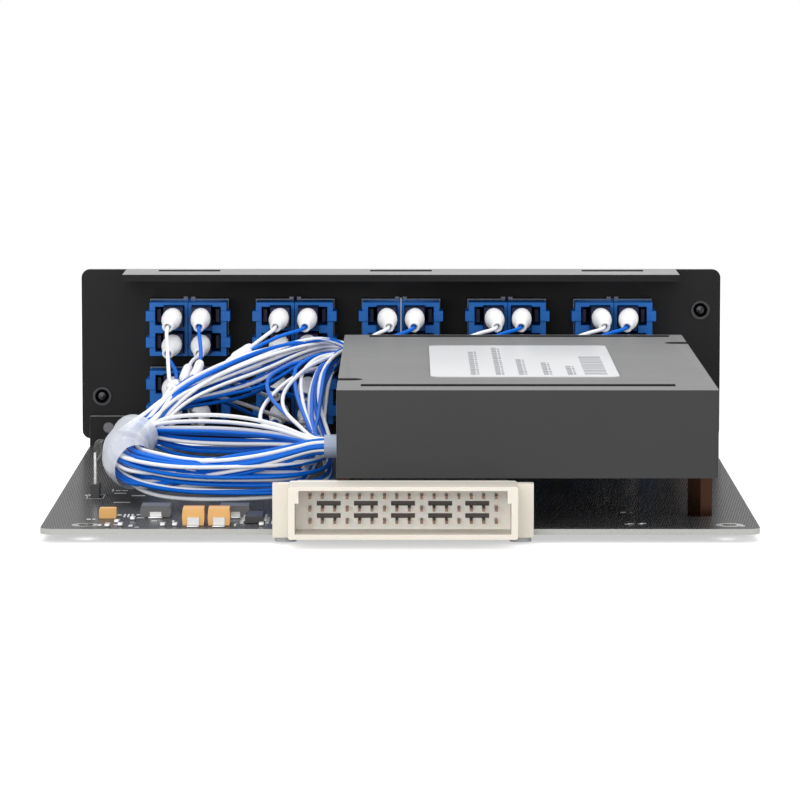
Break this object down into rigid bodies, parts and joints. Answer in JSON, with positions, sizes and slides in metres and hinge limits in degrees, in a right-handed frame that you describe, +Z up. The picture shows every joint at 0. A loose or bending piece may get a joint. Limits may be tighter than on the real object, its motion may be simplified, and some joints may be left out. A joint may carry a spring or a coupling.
{
  "type": "wavelength multiplexer module",
  "caption": "Plug-in rack card with a boxed optical multiplexer, coiled fibres, a backplane connector and duplex fibre ports through its folded front panel.",
  "frame": {"origin": "centre of the bounding box at the surface that the card rests on", "axes": "+X across the card to the right seen from the backplane end, +Y from the backplane connector to the front panel, +Z up from the board"},
  "size_m": [0.1526, 0.1906, 0.045],
  "materials": {
    "board": "glossy black solder mask over hatched copper",
    "panel": "satin black powder coat",
    "module": "fine matt black anodised",
    "label": "printed foil label",
    "dark_screw": "black oxide",
    "steel": "bright plated",
    "standoff": "turned brass",
    "heater": "milled",
    "chip": "polished silica on silicon",
    "array": "ground glass",
    "connector": "moulded ivory polyester",
    "contact": "gold plated",
    "capacitor": "moulded epoxy",
    "diode": "moulded epoxy",
    "package": "moulded epoxy",
    "chip_part": "ceramic with tinned ends",
    "lamp": "tinted epoxy lens",
    "fibre": "extruded jacket",
    "wrap": "translucent polyethylene",
    "sleeve": "translucent silicone",
    "adapter": "moulded",
    "plug": "moulded white",
    "boot": "soft white elastomer",
    "dust_plug": "moulded",
    "knob": "turned, straight knurl"
  },
  "bodies": {
    "card": {"circuit_board": "board", "front_panel": "panel", "panel_bracket_left": "panel", "panel_bracket_right": "panel", "bracket_screws": "dark_screw", "module_base": "module", "module_cover": "module", "module_label": "label", "housing_screws": "dark_screw", "module_standoffs": "standoff", "standoff_screws": "steel", "heater_plate": "heater", "waveguide_chip": "chip", "fibre_arrays": "array", "connector_housing": "connector", "connector_contacts": "contact", "connector_screws": "steel", "moulded_capacitors": "capacitor", "rectifier_diodes": "diode", "driver_chip": "package", "chip_parts": "chip_part", "status_lamp": "lamp", "lamp_spacer": "package", "fibre_coil": "fibre", "spiral_wrap": "wrap", "exit_sleeve": "sleeve", "adapter_clips": "steel", "plugs_lower": "plug", "plugs_upper": "plug", "boots_lower": "boot", "boots_upper": "boot", "dust_plugs_lower": "dust_plug", "dust_plugs_upper": "dust_plug", "port_fibres_lower": "fibre", "port_fibres_upper": "fibre", "adapters_lower_1": "adapter", "adapters_lower_2": "adapter", "adapters_lower_3": "adapter", "adapters_lower_4": "adapter", "adapters_lower_5": "adapter", "adapters_upper_1": "adapter", "adapters_upper_2": "adapter", "adapters_upper_3": "adapter", "adapters_upper_4": "adapter", "adapters_upper_5": "adapter", "captive_ferrule_left": "steel", "captive_spring_left": "steel", "captive_ferrule_right": "steel", "captive_spring_right": "steel"},
    "washer_left": {"captive_washer_left": "steel"},
    "knob_left": {"captive_screw_left": "knob"},
    "washer_right": {"captive_washer_right": "steel"},
    "knob_right": {"captive_screw_right": "knob"}
  },
  "joints": [
    {"name": "screw_slide_left", "type": "slide", "parent": "card", "child": "washer_left", "axis": [0, -1, 0], "range_m": [0, 0.005], "stiffness_N_per_m": 350, "springref_m": -0.002, "deforming": ["captive_spring_left"]},
    {"name": "screw_turn_left", "type": "hinge", "parent": "washer_left", "child": "knob_left", "pos_m": [-0.0715, 0.08975, 0.0146], "axis": [0, 1, 0], "continuous": true},
    {"name": "screw_slide_right", "type": "slide", "parent": "card", "child": "washer_right", "axis": [0, -1, 0], "range_m": [0, 0.005], "stiffness_N_per_m": 350, "springref_m": -0.002, "deforming": ["captive_spring_right"]},
    {"name": "screw_turn_right", "type": "hinge", "parent": "washer_right", "child": "knob_right", "pos_m": [0.0715, 0.08975, 0.0353], "axis": [0, 1, 0], "continuous": true}
  ]
}
